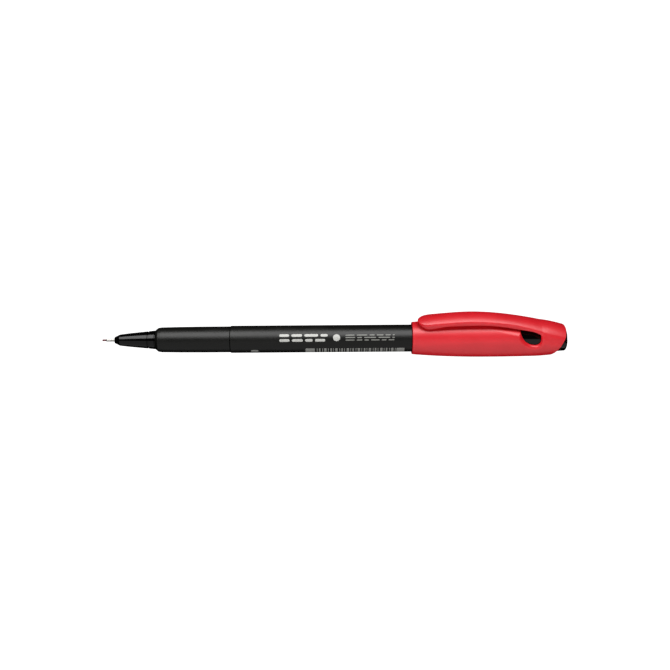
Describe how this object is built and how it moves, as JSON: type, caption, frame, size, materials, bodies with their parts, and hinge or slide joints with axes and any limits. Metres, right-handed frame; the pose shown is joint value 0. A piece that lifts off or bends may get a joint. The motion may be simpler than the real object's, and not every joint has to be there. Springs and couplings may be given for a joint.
{
  "type": "fineliner pen",
  "caption": "Slim round fineliner pen with a metal-clad needle tip and a clip cap posted on its rear end.",
  "frame": {"origin": "on the pen's axis, in the middle of the bare barrel between its two shoulders", "axes": "X along the pen with the writing tip towards -X, clip straight up towards +Z"},
  "size_m": [0.1666, 0.0138, 0.0171],
  "materials": {
    "nib_plastic": "ink-stained extruded nib",
    "tip_steel": "drawn stainless tube",
    "ink_fibre": "bonded fibre soaked with red ink",
    "cone_plastic": "polished moulded black",
    "barrel_plastic": "fine matt moulded black",
    "wrap_film": "thin film",
    "plug_plastic": "moulded black",
    "cap_plastic": "satin moulded red",
    "inner_cap_plastic": "moulded black"
  },
  "bodies": {
    "pen": {"writing_tip": "nib_plastic", "tip_sleeve": "tip_steel", "feed_wick": "ink_fibre", "nose_cone": "cone_plastic", "grip_section": "barrel_plastic", "barrel": "barrel_plastic", "ink_reservoir": "ink_fibre", "reservoir_wrap": "wrap_film", "end_plug": "plug_plastic"},
    "cap": {"cap_shell": "cap_plastic", "inner_cap": "inner_cap_plastic"},
    "clip": {"cap_clip": "cap_plastic"}
  },
  "joints": [
    {"name": "cap_slide", "type": "slide", "parent": "pen", "child": "cap", "axis": [1, 0, 0], "range_m": [0, 0.03]},
    {"name": "clip_flex", "type": "hinge", "parent": "cap", "child": "clip", "pos_m": [0.0757, 0, 0.0062], "axis": [0, 1, 0], "range_deg": [0, 3.5], "stiffness_Nm_per_rad": 2}
  ]
}
